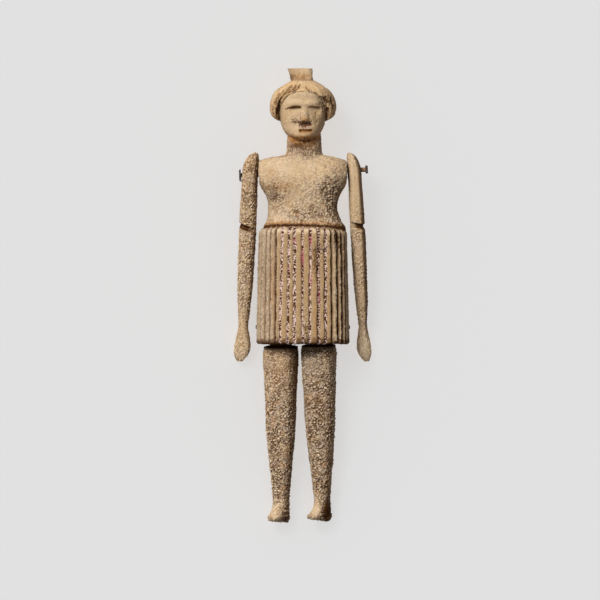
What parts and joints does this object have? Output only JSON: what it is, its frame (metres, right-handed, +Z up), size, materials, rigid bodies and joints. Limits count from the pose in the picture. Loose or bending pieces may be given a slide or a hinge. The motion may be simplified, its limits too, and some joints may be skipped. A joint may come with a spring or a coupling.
{
  "type": "jointed bone figurine",
  "caption": "Carved bone doll of a woman in a pleated skirt, lying on its back, with its arms hung on a pin through the shoulders and its legs on a pin inside the hollow skirt.",
  "frame": {"origin": "on the table under the middle of the figure's box, which lies below the chest of the skirt", "axes": "+Y up the figure towards its head, +X across it towards its left arm, +Z up from the table and out of its chest"},
  "size_m": [0.0412, 0.1364, 0.0194],
  "materials": {
    "bone": null,
    "bronze": "corroded copper alloy, dull and dark brown"
  },
  "bodies": {
    "root": {"torso_with_head_and_skirt": "bone", "right_arm": "bone", "left_arm": "bone", "right_leg": "bone", "left_leg": "bone", "shoulder_pin": "bronze", "hip_pin": "bronze"}
  },
  "joints": []
}
